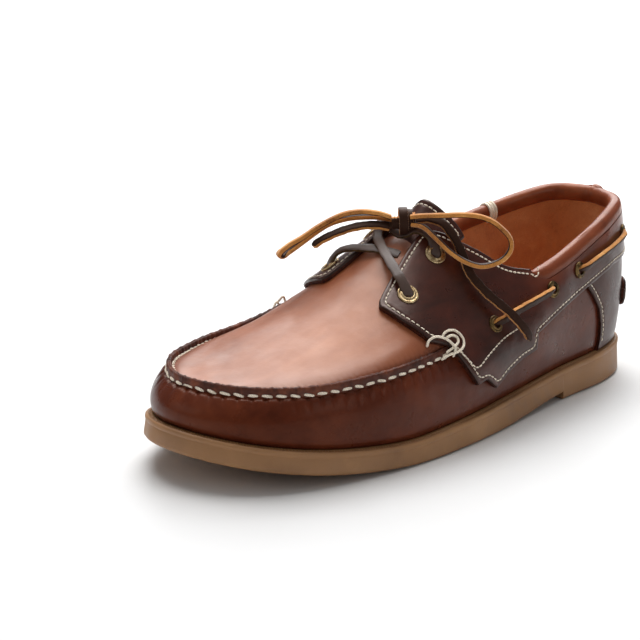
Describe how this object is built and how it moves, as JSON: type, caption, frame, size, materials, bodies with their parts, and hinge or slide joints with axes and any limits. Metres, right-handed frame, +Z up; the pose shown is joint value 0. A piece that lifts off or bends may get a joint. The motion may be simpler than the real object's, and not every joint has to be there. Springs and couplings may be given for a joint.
{
  "type": "boat shoe",
  "caption": "Left leather boat shoe with hand-sewn moccasin toe, lacing saddle with brass eyelets, tied rawhide bow and a gum rubber sole.",
  "frame": {"origin": "on the ground, under the middle of the sole's outline", "axes": "+Z up, +Y from toe to heel, +X to the outer (lateral) side of this left shoe"},
  "size_m": [0.1089, 0.297, 0.1044],
  "materials": {
    "gum_rubber": "matte gum rubber",
    "insole_leather": "smooth tan lining leather",
    "vamp_leather": "waxed pull-up leather, brown, glossy",
    "saddle_leather": "waxed dark brown leather, glossy",
    "antique_brass": "antique brass",
    "rawhide_lace": "rawhide lace, dark grain side, tan flesh side"
  },
  "bodies": {
    "root": {"bow_knot": "rawhide_lace", "bow_loop_lateral": "rawhide_lace", "bow_loop_medial": "rawhide_lace", "collar_roll": "saddle_leather", "eyelet_lateral_1": "antique_brass", "eyelet_lateral_2": "antique_brass", "eyelet_lateral_3": "antique_brass", "eyelet_lateral_4": "antique_brass", "eyelet_lateral_high": "antique_brass", "eyelet_lateral_low": "antique_brass", "eyelet_medial_1": "antique_brass", "eyelet_medial_2": "antique_brass", "eyelet_medial_3": "antique_brass", "eyelet_medial_4": "antique_brass", "eyelet_medial_high": "antique_brass", "eyelet_medial_low": "antique_brass", "heel_counter": "saddle_leather", "heel_patch": "saddle_leather", "insole": "insole_leather", "lace_crossing": "rawhide_lace", "lace_end_lateral": "rawhide_lace", "lace_end_medial": "rawhide_lace", "lace_side_lateral_front": "rawhide_lace", "lace_side_lateral_rear": "rawhide_lace", "lace_side_medial_front": "rawhide_lace", "lace_side_medial_rear": "rawhide_lace", "outsole": "gum_rubber", "saddle_lateral": "saddle_leather", "saddle_medial": "saddle_leather", "tongue": "saddle_leather", "upper": "vamp_leather"}
  },
  "joints": []
}
